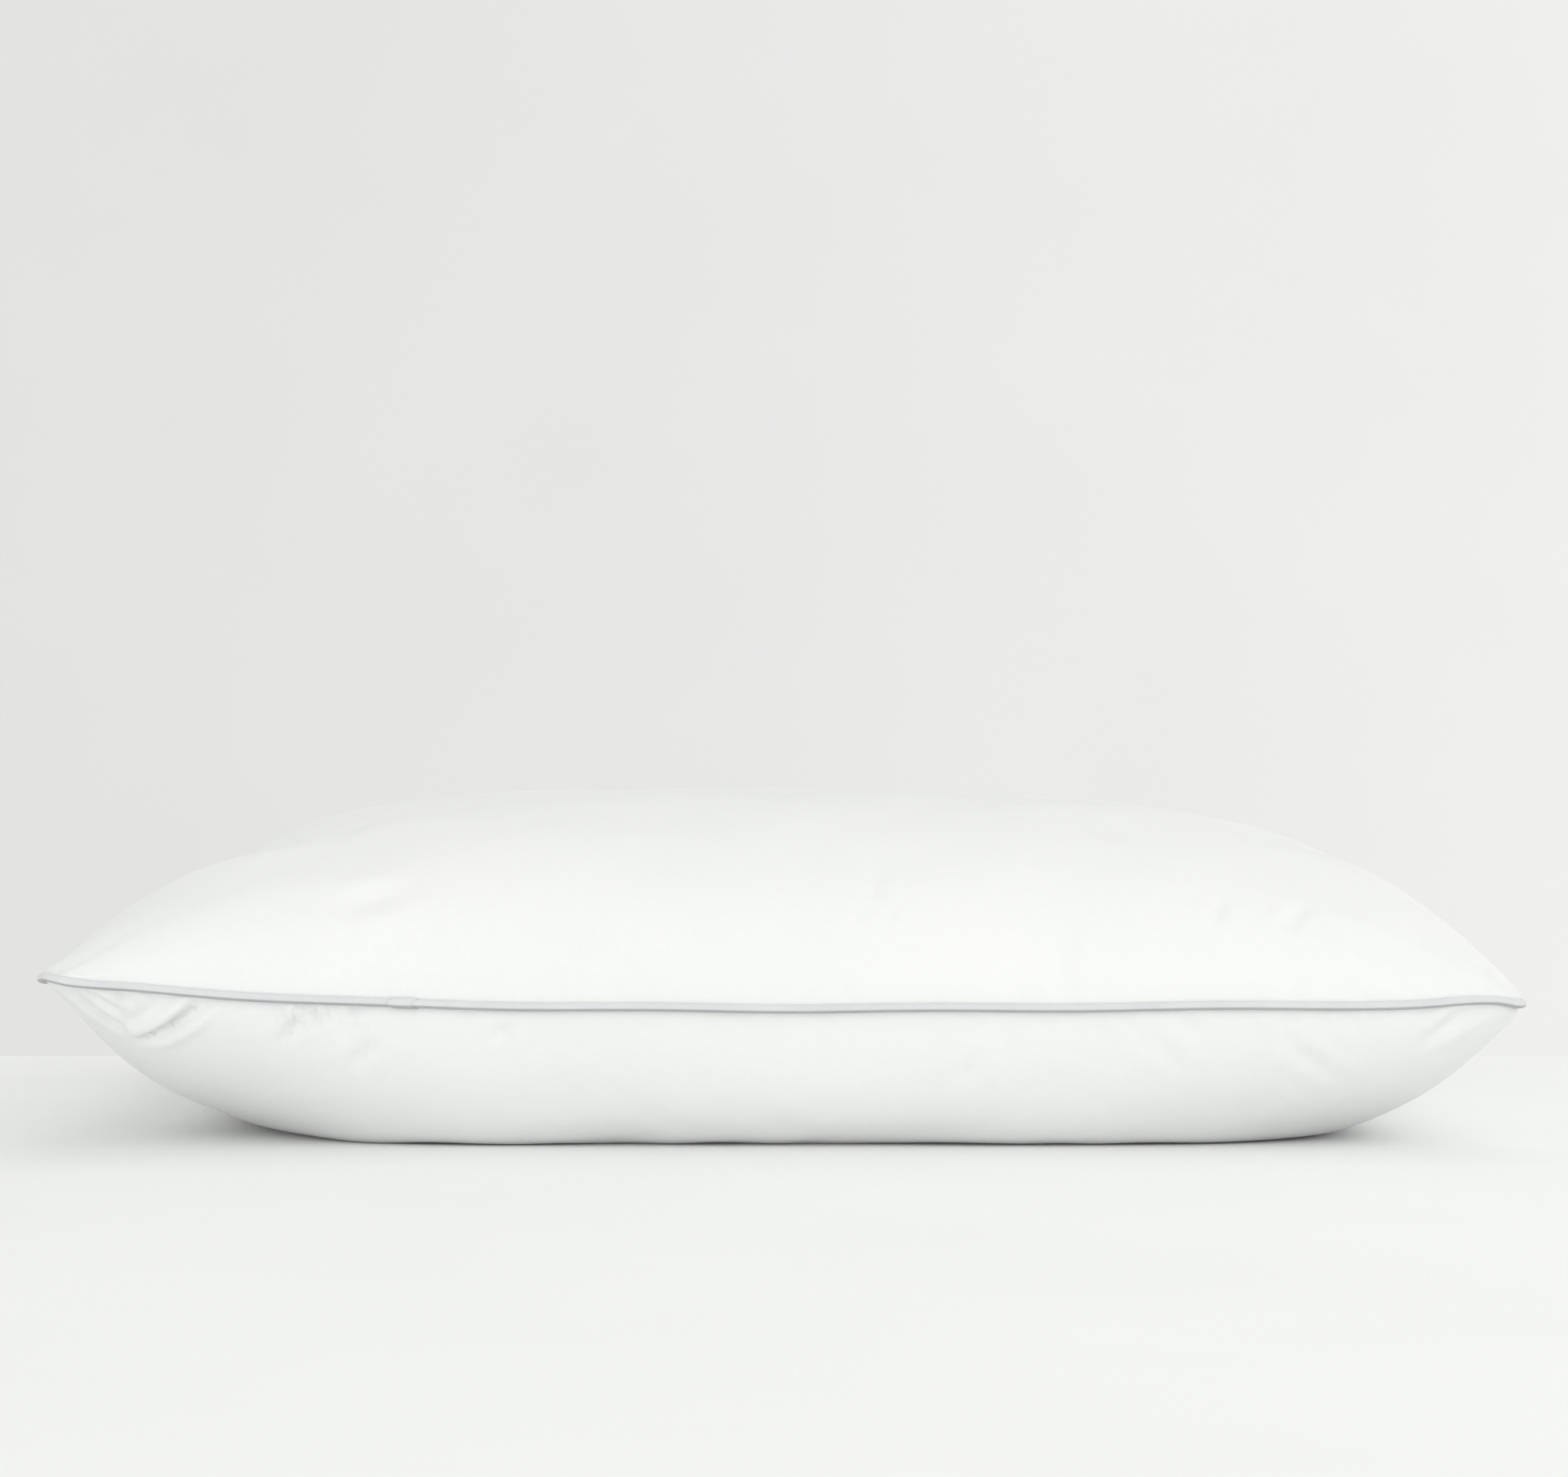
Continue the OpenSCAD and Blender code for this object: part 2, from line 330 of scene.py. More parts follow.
def strip_ends(rings, sides):
    """Faces over the ends of a strip whose rings run out along one face and back along the other."""
    faces = []
    last = (rings - 1) * sides
    for s in range(sides // 2 - 1):
        faces.append([s, s + 1, sides - 2 - s, sides - 1 - s])
        faces.append([last + k for k in (s + 1, s, sides - 1 - s, sides - 2 - s)])
    return faces


def make_mesh(name, points, faces, uv=None):
    """A smooth-shaded object of the given points and faces, with a UV place for each point."""
    mesh = bpy.data.meshes.new(name)
    mesh.from_pydata(np.asarray(points, float).tolist(), [], faces)
    mesh.update()
    mesh.shade_smooth()
    if uv is not None:
        corner_points = np.empty(len(mesh.loops), np.int32)
        mesh.loops.foreach_get("vertex_index", corner_points)
        layer = mesh.uv_layers.new(name="weave")
        layer.data.foreach_set("uv", np.asarray(uv, np.float32)[corner_points].ravel())
    made = bpy.data.objects.new(name, mesh)
    scene.collection.objects.link(made)
    return made


# ------------------------------------------------------------------ cloth simulation
SIM_FRAMES = 16
EASE_X, EASE_Y = 1.04, 1.06  # spare length of the cloth that the seam and the filling take up
CLOTH_MASS = 0.15


def settle(frames):
    """How far the panels' points move when cloth of the flat cut settles on the filling.

    Both panels are one closed mesh held at the seam. Uniform pressure stands for the filling.
    """
    u, v = grid(SIM_X, SIM_Y)
    upper, lower = filled(u, v, 1), filled(u, v, -1)
    edge = edge_mask(u.shape)
    upper[edge] = ((upper + lower) / 2)[edge]
    start, faces, top_index, low_index = joined(upper, lower)

    cut_x, cut_y = np.meshgrid(
        arc_shares(SIM_X) * EASE_X * CUT_W / 2,
        arc_shares(SIM_Y) * EASE_Y * CUT_D / 2,
        indexing="ij",
    )
    cut = np.stack([cut_x, cut_y, np.zeros_like(cut_x)], -1)
    flat = np.concatenate([cut.reshape(-1, 3), cut[~edge]])

    body = make_mesh("settling", start, faces)
    bpy.context.view_layer.objects.active = body
    body.shape_key_add(name="Basis")
    flat_key = body.shape_key_add(name="flat")
    flat_key.data.foreach_set("co", flat.astype(np.float32).ravel())
    flat_key.value = 0
    held = body.vertex_groups.new(name="seam")
    held.add(top_index[edge].tolist(), 1.0, "REPLACE")

    corners = [(-1, -1, 0), (1, -1, 0), (1, 1, 0), (-1, 1, 0)]
    ground = make_mesh("settling_ground", corners, [[0, 1, 2, 3]])
    ground.modifiers.new("collision", "COLLISION")
    ground.collision.thickness_outer = 0.001
    ground.location.z = -0.002

    cloth = body.modifiers.new("cloth", "CLOTH")
    settings = cloth.settings
    settings.quality = 6
    settings.mass = CLOTH_MASS * 100 / len(start)
    settings.rest_shape_key = flat_key
    settings.vertex_group_mass = "seam"
    settings.pin_stiffness = 1
    settings.tension_stiffness = settings.compression_stiffness = 40
    settings.shear_stiffness = 10
    settings.bending_stiffness = 0.15
    settings.tension_damping = settings.compression_damping = settings.shear_damping = 2
    settings.bending_damping = 0.5
    settings.air_damping = 3
    settings.use_pressure = True
    settings.uniform_pressure_force = 3.0
    settings.effector_weights.gravity = 0
    cloth.collision_settings.distance_min = 0.001
    cloth.point_cache.frame_end = frames + 1
    scene.frame_end = frames + 1
    for number in range(1, frames + 1):
        scene.frame_set(number)
    settled = body.evaluated_get(bpy.context.evaluated_depsgraph_get())
    end = np.empty(len(start) * 3, np.float32)
    settled.data.vertices.foreach_get("co", end)
    moved = end.reshape(-1, 3).astype(float) - start
    scene.frame_set(1)
    scene.frame_end = 1
    for used in (body, ground):
        mesh = used.data
        bpy.data.objects.remove(used)
        bpy.data.meshes.remove(mesh)
    return moved[top_index], moved[low_index]


FOLD_REACH = 5.0  # cells: movement that is smoother than this belongs to the filled shape
FOLD_LIMIT = 0.006  # the most that a crease moves a point
# Where the creases of the upper panel are calmer: x, y, half widths, share
CALM = [(-0.275, -0.185, 0.075, 0.08, 1.0), (0.235, -0.185, 0.07, 0.065, 0.85)]

settled = settle(SIM_FRAMES)


def creases(moved):
    """The folds of a settled panel, without its change of overall shape, on the fine grid."""
    folds = moved - blurred(moved, FOLD_REACH)
    size = np.linalg.norm(folds, axis=-1, keepdims=True)
    folds *= FOLD_LIMIT * np.tanh(size / FOLD_LIMIT) / np.maximum(size, 1e-9)
    from_edge_x = np.minimum(np.arange(SIM_X + 1), np.arange(SIM_X, -1, -1))
    from_edge_y = np.minimum(np.arange(SIM_Y + 1), np.arange(SIM_Y, -1, -1))
    fade = np.clip(np.minimum.outer(from_edge_x, from_edge_y) / 3.0, 0, 1)
    return refined(folds * (fade**2 * (3 - 2 * fade))[..., None], FINER)


# ------------------------------------------------------------------ folds given one by one
# Each fold: side of the pillow, start and end as (place along that side, distance from the seam
# along the cloth), half width, depth, and where it is deepest from 0 (start) to 1 (end).
FRONT, REAR, LEFT, RIGHT = "front", "rear", "left", "right"
FOLDS_TOP = [
    (FRONT, (0.04, 0.045), (0.042, 0.072), 0.0036, 0.0014, 0.5),
    (FRONT, (0.0335, 0.037), (0.035, 0.045), 0.0028, 0.0012, 0.5),
    (FRONT, (0.045, 0.035), (0.0468, 0.045), 0.0028, 0.0013, 0.5),
    (FRONT, (0.026, 0.004), (0.0258, 0.013), 0.0024, 0.0012, 0.3),
    (FRONT, (0.1877, 0.036), (0.1893, 0.05), 0.0034, 0.002, 0.5),
    (FRONT, (0.2177, 0.033), (0.2258, 0.05), 0.0038, 0.0017, 0.5),
    (FRONT, (-0.192, 0.042), (-0.162, 0.056), 0.008, 0.0022, 0.5),
    (FRONT, (-0.15, 0.03), (-0.165, 0.048), 0.005, 0.0009, 0.4),
    (FRONT, (0.262, 0.012), (0.236, 0.045), 0.005, 0.0012, 0.3),
    (FRONT, (0.12, 0.008), (0.124, 0.04), 0.005, 0.0007, 0.4),
    (REAR, (-0.27, 0.01), (-0.21, 0.062), 0.008, 0.002, 0.3),
    (REAR, (0.275, 0.008), (0.22, 0.055), 0.007, 0.0018, 0.3),
    (REAR, (-0.1, 0.02), (-0.085, 0.08), 0.009, 0.0009, 0.4),
    (REAR, (0.12, 0.004), (0.112, 0.048), 0.006, 0.0012, 0.2),
    (LEFT, (0.06, 0.003), (0.048, 0.055), 0.007, 0.0015, 0.2),
    (LEFT, (-0.12, 0.005), (-0.09, 0.06), 0.008, 0.0016, 0.2),
    (LEFT, (0.15, 0.004), (0.12, 0.07), 0.008, 0.002, 0.2),
    (RIGHT, (0.04, 0.003), (0.03, 0.06), 0.007, 0.0015, 0.2),
    (RIGHT, (-0.07, 0.004), (-0.055, 0.05), 0.006, 0.0013, 0.2),
    (RIGHT, (0.14, 0.004), (0.115, 0.065), 0.008, 0.0018, 0.2),
]
FOLDS_LOW = [
    (FRONT, (-0.248, 0.003), (-0.276, 0.033), 0.0032, 0.0041, 0.4),
    (FRONT, (-0.256, 0.003), (-0.283, 0.03), 0.0036, -0.0022, 0.5),
    (FRONT, (-0.2049, 0.001), (-0.2125, 0.018), 0.0027, 0.0036, 0.3),
    (FRONT, (-0.21, 0.003), (-0.2175, 0.016), 0.0028, -0.0014, 0.4),
    (FRONT, (-0.1975, 0.001), (-0.203, 0.014), 0.0026, 0.0031, 0.25),
    (FRONT, (-0.19, 0.001), (-0.1938, 0.012), 0.0025, 0.0027, 0.25),
    (FRONT, (-0.183, 0.001), (-0.1888, 0.014), 0.0026, 0.0029, 0.25),
    (FRONT, (-0.1765, 0.018), (-0.1834, 0.031), 0.0036, 0.002, 0.5),
    (FRONT, (-0.118, 0.006), (-0.1215, 0.015), 0.0034, 0.0022, 0.5),
    (FRONT, (-0.105, 0.001), (-0.106, 0.012), 0.003, 0.0008, 0.3),
    (FRONT, (0.081, 0.022), (0.078, 0.036), 0.0045, 0.0014, 0.5),
    (FRONT, (0.098, 0.002), (0.096, 0.022), 0.003, 0.0007, 0.3),
    (FRONT, (0.156, 0.01), (0.174, 0.03), 0.0042, 0.0008, 0.5),
    (FRONT, (0.216, 0.014), (0.24, 0.037), 0.0042, 0.0012, 0.55),
    (FRONT, (0.176, 0.002), (0.18, 0.016), 0.0032, 0.0008, 0.3),
    (FRONT, (-0.306, 0.004), (-0.283, 0.032), 0.0034, 0.0036, 0.5),
    (FRONT, (-0.299, 0.003), (-0.286, 0.014), 0.003, 0.0026, 0.4),
    (FRONT, (-0.283, 0.002), (-0.277, 0.01), 0.003, 0.0012, 0.3),
    (FRONT, (0.296, 0.002), (0.276, 0.02), 0.004, 0.0022, 0.3),
    (REAR, (-0.25, 0.003), (-0.215, 0.045), 0.006, 0.002, 0.3),
    (REAR, (0.255, 0.003), (0.225, 0.04), 0.006, 0.0018, 0.3),
    (REAR, (-0.13, 0.002), (-0.124, 0.03), 0.004, 0.0012, 0.2),
    (REAR, (0.16, 0.002), (0.152, 0.034), 0.0045, 0.0012, 0.2),
    (LEFT, (0.03, 0.002), (0.024, 0.036), 0.0045, 0.0014, 0.2),
    (LEFT, (-0.1, 0.002), (-0.08, 0.04), 0.0055, 0.0016, 0.25),
    (LEFT, (0.16, 0.003), (0.13, 0.045), 0.006, 0.0018, 0.3),
    (RIGHT, (0.0, 0.002), (0.004, 0.034), 0.0045, 0.0013, 0.2),
    (RIGHT, (-0.13, 0.003), (-0.105, 0.042), 0.0055, 0.0016, 0.25),
    (RIGHT, (0.15, 0.003), (0.125, 0.045), 0.006, 0.0018, 0.3),
]


def gathers(spacing, depth):
    """Small random gathers square to the seam, all the way round one panel."""
    made = []
    for side, half in ((FRONT, 0.31), (REAR, 0.31), (LEFT, 0.235), (RIGHT, 0.235)):
        place = -half
        while place < half:
            length = rng.uniform(0.006, 0.024)
            slant = length * rng.uniform(-0.5, 0.5)
            width = rng.uniform(0.0022, 0.0046)
            deep = depth * rng.uniform(0.3, 1.0)
            made.append((side, (place, 0.0005), (place + slant, length), width, deep, 0.15))
            place += spacing * rng.uniform(0.5, 1.6)
    return made


def cloth_distances(points):
    """Distance of each point of a panel from its left and its front seam, along the cloth."""
    along_x = np.linalg.norm(np.diff(points, axis=0), axis=-1)
    along_y = np.linalg.norm(np.diff(points, axis=1), axis=-1)
    from_left = np.concatenate([np.zeros((1, NY + 1)), np.cumsum(along_x, 0)], 0)
    from_front = np.concatenate([np.zeros((NX + 1, 1)), np.cumsum(along_y, 1)], 1)
    return from_left, from_front


FADE = 0.3  # a fold runs on past its two ends by this share of its length
RIDGE_SHARE, RIDGE_AT, RIDGE_W = 0.45, 1.7, 0.9  # the ridges, against the valley's depth and width


def fold_heights(points, folds):
    """Height of all the folds at each point: each is a valley between two soft ridges."""
    from_left, from_front = cloth_distances(points)
    away = {
        FRONT: (points[..., 0], from_front),
        REAR: (points[..., 0], from_front[:, -1:] - from_front),
        LEFT: (points[..., 1], from_left),
        RIGHT: (points[..., 1], from_left[-1:] - from_left),
    }
    heights = np.zeros(points.shape[:2])
    for side, start, end, width, depth, peak in folds:
        a, s = away[side]
        run = np.array([end[0] - start[0], end[1] - start[1]])
        length = math.hypot(*run)
        run /= length
        da, ds = a - start[0], s - start[1]
        t = (da * run[0] + ds * run[1]) / length
        n = (da * run[1] - ds * run[0]) / width
        near = (t > -FADE) & (t < 1 + FADE) & (np.abs(n) < 4)
        tn, nn = t[near], n[near]
        rise = np.clip((tn + FADE) / (peak + FADE), 0, 1)
        fall = np.clip((1 + FADE - tn) / (1 + FADE - peak), 0, 1)
        taper = (rise * rise * (3 - 2 * rise)) * (fall * fall * (3 - 2 * fall))
        ridges = np.exp(-(((np.abs(nn) - RIDGE_AT) / RIDGE_W) ** 2))
        valley = np.exp(-(nn**2)) - RIDGE_SHARE * ridges
        heights[near] -= depth * taper * valley
    return heights


def random_waves(x, y, count, shortest, longest):
    """A sum of waves in all directions, each as high as it is long."""
    total = np.zeros_like(x)
    for _ in range(count):
        angle, wave = rng.uniform(0, 2 * math.pi), rng.uniform(shortest, longest)
        phase, k = rng.uniform(0, 2 * math.pi), 2 * math.pi / wave
        total += wave * np.sin(k * (math.cos(angle) * x + math.sin(angle) * y) + phase)
    return total


def unevenness(points, size):
    """Slight lumps of the fibre that show through the cotton."""
    longest = 0.11
    return size * random_waves(points[..., 0], points[..., 1], 26, 0.03, longest) / (5 * longest)


GROOVE_W = 0.0035  # how far the seam draws the cotton in beside the piping


def from_seam(points):
    """Distance of each point from the nearest seam, along the cloth."""
    from_left, from_front = cloth_distances(points)
    to_right, to_rear = from_left[-1:] - from_left, from_front[:, -1:] - from_front
    return np.minimum(np.minimum(from_left, to_right), np.minimum(from_front, to_rear))


def finished(side, moved, folds, spacing, depth, size, groove):
    """The outer face of one panel: filled shape, creases, folds, gathers, unevenness and groove."""
    u, v = grid(NX, NY)
    points = filled(u, v, side)
    kept = np.ones_like(points[..., :1])
    for cx, cy, wx, wy, calm in CALM if side > 0 else []:
        near = np.exp(-(((points[..., :1] - cx) / wx) ** 2) - ((points[..., 1:2] - cy) / wy) ** 2)
        kept *= 1 - calm * near
    points[1:-1, 1:-1] += (creases(moved) * kept)[1:-1, 1:-1]
    share = crown(u) * crown(v)
    rise = fold_heights(points, folds + gathers(spacing, depth)) + unevenness(points, size) * share
    rise -= groove * np.exp(-((from_seam(points) / GROOVE_W) ** 2))
    rise[[0, -1]] = rise[:, [0, -1]] = 0
    points += side * normals_of(points) * rise[..., None]
    points[..., 2] = np.maximum(points[..., 2], 0)
    return points


top = finished(1, settled[0], FOLDS_TOP, spacing=0.022, depth=0.0004, size=0.0009, groove=0.0)
low = finished(-1, settled[1], FOLDS_LOW, spacing=0.017, depth=0.0008, size=0.0007, groove=0.0004)


# ------------------------------------------------------------------ the two panels
def panel(name, node, outer, side):
    """A closed shell of cotton: its outer face, its edge turned into the seam, its inner face."""
    flip = side < 0
    around, coarse = rim(NX, NY), rim(NX // 2, NY // 2)
    inner = (outer - side * CLOTH * normals_of(outer))[::2, ::2]
    edge_u, edge_v = edge_places()
    mid = seam_height(edge_u, edge_v)

    def loop(inset, rise, step):
        x, y = plan(edge_u, edge_v, inset)
        return np.stack([x, y, mid + side * rise], -1)[::step]

    inner[coarse[:, 0], coarse[:, 1]] = loop(PIPING_R + WALL, STACK, 2)
    tucked = loop(PIPING_R, LIP, 1)
    turned = loop(ALLOWANCE, LIP, 1)
    raw = loop(ALLOWANCE, STACK, 2)
    points = [outer.reshape(-1, 3), tucked, turned, raw, inner.reshape(-1, 3)]
    firsts = np.cumsum([0] + [len(p) for p in points])
    outer_index = np.arange((NX + 1) * (NY + 1)).reshape(NX + 1, NY + 1)
    inner_index = firsts[4] + np.arange(inner[..., 0].size).reshape(inner.shape[:2])
    edge = outer_index[around[:, 0], around[:, 1]]
    inner_edge = inner_index[coarse[:, 0], coarse[:, 1]]
    tucked_ids = (firsts[1] + np.arange(len(tucked))).tolist()
    turned_ids = (firsts[2] + np.arange(len(turned))).tolist()
    raw_ids = (firsts[3] + np.arange(len(raw))).tolist()
    faces = quads(outer_index, flip)
    faces += band(edge.tolist(), tucked_ids, flip)
    faces += band(tucked_ids, turned_ids, flip)
    faces += band(turned_ids, raw_ids, flip)
    faces += band(raw_ids, inner_edge.tolist(), flip)
    faces += quads(inner_index, not flip)
    flat_x, flat_y = arc_shares(NX) * CUT_W / 2, arc_shares(NY) * CUT_D / 2
    weave = np.stack(np.meshgrid(flat_x, flat_y, indexing="ij"), -1)
    rim_weave = weave[around[:, 0], around[:, 1]]
    uv = [weave.reshape(-1, 2), rim_weave, rim_weave, rim_weave[::2], weave[::2, ::2].reshape(-1, 2)]
    made = make_mesh(name, np.concatenate(points), faces, np.concatenate(uv))
    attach(made, "pillow")
    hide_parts(node)
    return made


top_panel = panel("cotton_top", "top_panel", top, 1)
bottom_panel = panel("cotton_bottom", "bottom_panel", low, -1)


# ------------------------------------------------------------------ the seam's own line
SEAM_STEPS = 4400  # points of the seam line that the stitches follow
STEP_OUT = 0.001


def seam_line(count):
    """Points at even steps round the seam, their outward directions, and the seam's length."""
    edge_u, edge_v = edge_places()
    rows = [np.stack([*plan(edge_u, edge_v, inset), seam_height(edge_u, edge_v)], -1)
            for inset in (0, -STEP_OUT, STEP_OUT)]
    closed = [np.concatenate([r, r[:1]]) for r in rows]
    steps = np.linalg.norm(np.diff(closed[0], axis=0), axis=1)
    arc = np.concatenate([[0], np.cumsum(steps)])
    places = np.linspace(0, arc[-1], count + 1)[:-1]
    even = [np.stack([np.interp(places, arc, r[:, c]) for c in range(3)], -1) for r in closed]
    out = even[1] - even[2]
    return even[0], out / (2 * STEP_OUT), arc[-1]


UP = np.array([0, 0, 1.0])


def sweep(name, count, section, node):
    """A closed ring round the seam. section(s) gives the (outward, upward) points at share s."""
    line, out, _ = seam_line(count)
    rings, rises = [], []
    for k in range(count):
        shape = np.asarray(section(k / count))
        rings.append(line[k] + shape[:, :1] * out[k] + shape[:, 1:] * UP)
        rises.append(shape[:, 1] / PIPING_R)
    sides = len(rings[0])
    uv = np.stack([np.repeat(np.arange(count) / count, sides), np.concatenate(rises)], -1)
    made = make_mesh(name, np.concatenate(rings), tube_faces(count, sides, closed=True), uv)
    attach(made, "pillow")
    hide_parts(node)
    return made


def arc_points(radius, count, mouth):
    """Points round an arc that is open towards the seam by mouth degrees on each side."""
    angles = np.radians(np.linspace(-180 + mouth, 180 - mouth, count))
    return np.stack([radius * np.cos(angles), radius * np.sin(angles)], -1)


PIPING_RINGS, CORD_RINGS, CORD_TURNS = 1100, 2400, 190
wobble = [(rng.integers(20, 160), rng.uniform(0, 2 * math.pi), rng.uniform(0.3, 1)) for _ in range(12)]


def swell(s):
    """Slight change of the piping's thickness along the seam."""
    return 1 + 0.01 * sum(w * math.sin(2 * math.pi * n * s + p) for n, p, w in wobble) / 2


def cover_section(s):
    """The satin strip folded round the cord, its two edges lying together in the seam."""
    r = PIPING_R * swell(s)
    inner_r = r - STRIP
    mouth = math.degrees(math.asin((STRIP + AIR) / r))
    inner_mouth = math.degrees(math.asin(AIR / inner_r))
    return np.concatenate([
        [[-ALLOWANCE, -STRIP - AIR]],
        arc_points(r, 21, mouth),
        [[-ALLOWANCE, STRIP + AIR], [-ALLOWANCE, AIR]],
        arc_points(inner_r, 13, inner_mouth)[::-1],
        [[-ALLOWANCE, -AIR]],
    ])


def cord_section(s):
    """Three twisted strands."""
    angles = np.linspace(0, 2 * math.pi, 15)[:-1]
    lobes = np.abs(np.cos(1.5 * (angles - 2 * math.pi * CORD_TURNS * s / 3)))
    r = CORD_R * (0.84 + 0.15 * lobes)
    return np.stack([r * np.cos(angles), r * np.sin(angles)], -1)


piping = sweep("piping_satin", PIPING_RINGS, cover_section, "piping_cover")
cord = sweep("piping_core", CORD_RINGS, cord_section, "piping_cord")


# Place, length and slant of the overlap of the strip's two ends
JOIN_X, JOIN_L, JOIN_SLANT = -0.1635, 0.0105, 0.0016
JOIN_RISE = 1.012  # the piping's swell at most, which the overlap has to clear
JOIN_MOUTH = 72


def piping_join():
    """The overlap on the front seam, where one end of the strip is laid over the other."""
    line, out, _ = seam_line(SEAM_STEPS)
    front = np.nonzero((line[:, 1] < 0) & (np.abs(line[:, 0] - JOIN_X) < JOIN_L))[0]
    x, lift = line[front, 0], line[front, 2]
    y, facing = line[front, 1], out[front]
    columns = 22
    rings, rises = [], []
    for c in range(columns + 1):
        t = c / columns
        ends = math.sin(math.pi * t) ** 0.25
        near = PIPING_R * JOIN_RISE + AIR
        layers = []
        for radius in (near + STRIP * (0.25 + 0.75 * ends), near):
            arc = arc_points(radius, 19, JOIN_MOUTH)
            place = JOIN_X + (t - 0.5) * JOIN_L + JOIN_SLANT * np.abs(arc[:, 1]) / PIPING_R
            base = np.stack([place, np.interp(place, x, y), np.interp(place, x, lift)], -1)
            outward = np.stack([np.interp(place, x, facing[:, k]) for k in range(3)], -1)
            layers.append(base + arc[:, :1] * outward + arc[:, 1:] * UP)
        rings.append(np.concatenate([layers[0], layers[1][::-1]]))
        rises += (np.concatenate([arc, arc[::-1]])[:, 1] / near).tolist()
    sides = len(rings[0])
    faces = tube_faces(columns + 1, sides) + strip_ends(columns + 1, sides)
    uv = np.stack([np.repeat(np.arange(columns + 1), sides) * 0.0005, rises], -1)
    made = make_mesh("piping_overlap", np.concatenate(rings), faces, uv)
    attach(made, "pillow")
    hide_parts("piping_join")
    return made


join = piping_join()


# ------------------------------------------------------------------ threads
def strands(name, paths, radius, sides, node, closed=False):
    """Threads along lists of points, with rounded ends unless they are closed rings."""
    points, faces = [], []
    for path in paths:
        path = np.asarray(path, float)
        count = len(path)
        if closed:
            ahead = np.roll(path, -1, 0) - np.roll(path, 1, 0)
        else:
            ahead = np.gradient(path, axis=0)
        ahead /= np.linalg.norm(ahead, axis=1, keepdims=True)
        helper = np.where(np.abs(ahead[:, 2:]) < 0.9, UP, np.array([1.0, 0, 0]))
        side = np.cross(ahead, helper)
        side /= np.linalg.norm(side, axis=1, keepdims=True)
        third = np.cross(side, ahead)
        angles = np.linspace(0, 2 * math.pi, sides + 1)[:-1]
        size = np.full(count, radius)
        if not closed:
            size[[0, -1]] = radius * 0.45
        ring = size[:, None, None] * (
            np.cos(angles)[None, :, None] * side[:, None] + np.sin(angles)[None, :, None] * third[:, None]
        )
        first = sum(len(p) for p in points)
        points.append((path[:, None] + ring).reshape(-1, 3))
        faces += tube_faces(count, sides, closed, first)
        if not closed:
            faces.append([first + s for s in range(sides)])
            faces.append([first + (count - 1) * sides + s for s in range(sides)][::-1])
    made = make_mesh(name, np.concatenate(points), faces)
    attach(made, "pillow")
    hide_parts(node)
    return made


def seam_stitches():
    """The lockstitches that hold the layers together, one row on each side of them."""
    pitch, dive, inset = 0.003, 0.00018, 0.0045
    line, out, length = seam_line(SEAM_STEPS)
    count = int(length / pitch)
    per_stitch = len(line) / count
    paths = []
    for side in (-1, 1):
        for k in range(count):
            middle = (k + 0.5) * per_stitch
            path = []
            for t in np.linspace(-0.45, 0.45, 6):
                i = int(round(middle + t * per_stitch)) % len(line)
                height = STACK + AIR + THREAD / 2 + dive * (1 - (2.2 * t) ** 2)
                path.append(line[i] - (inset + THREAD / 2) * out[i] + side * height * UP)
            paths.append(path)
    return strands("lockstitches", paths, THREAD / 2, 6, "seam_stitching")


def overlock_loops():
    """Threads looped round the raw edges."""
    pitch, reach = 0.0028, 0.003
    line, out, length = seam_line(SEAM_STEPS)
    loops = int(length / pitch)
    near = STACK + AIR + THREAD / 2
    edge = ALLOWANCE + AIR + THREAD / 2
    turn = [(-edge + reach, near), (-edge, near), (-edge, 0), (-edge, -near), (-edge + reach, -near),
            (-edge + reach * 0.4, -near - THREAD * 0.9), (-edge - THREAD, 0),
            (-edge + reach * 0.4, near + THREAD * 0.9)]
    path = []
    for k in range(loops * len(turn)):
        n, z = turn[k % len(turn)]
        i = int(k / (loops * len(turn)) * len(line))
        path.append(line[i] + n * out[i] + z * UP)
    return strands("overlock_thread", [path], THREAD * 0.42, 5, "overlock_stitching", closed=True)


stitches = seam_stitches()
overlock = overlock_loops()

CLOSING_L, CLOSING_PITCH, CLOSING_H, CLOSING_STITCH = 0.2, 0.005, 0.0032, 0.0034


def closing_stitches():
    """Edge stitches over the opening in the right end that the filling went in by."""
    points, faces = [], []
    for cotton_panel in (top_panel, bottom_panel):
        first = len(points)
        points += [v.co.copy() for v in cotton_panel.data.vertices]
        faces += [[first + k for k in p.vertices] for p in cotton_panel.data.polygons]
    skin = BVHTree.FromPolygons(points, faces)
    count = int(CLOSING_L / CLOSING_PITCH)
    paths = []
    for side in (-1, 1):
        for k in range(count):
            y = (k - (count - 1) / 2) * CLOSING_PITCH
            tilt = rng.uniform(-0.0003, 0.0003)
            path = []
            for t in np.linspace(-0.5, 0.5, 8):
                at = y + t * CLOSING_STITCH
                height = float(seam_height(1.0, at / (PILLOW_D / 2))) + side * (CLOSING_H + tilt * t)
                hit, normal, _, _ = skin.ray_cast(Vector((0.4, at, height)), Vector((-1, 0, 0)))
                sunk = 0.00022 * (2 * abs(t)) ** 4
                path.append(hit + normal * (THREAD * 0.3 - sunk))
            paths.append(path)
    return strands("closing_stitches", paths, THREAD * 0.42, 8, "closing_stitching")


closing = closing_stitches()


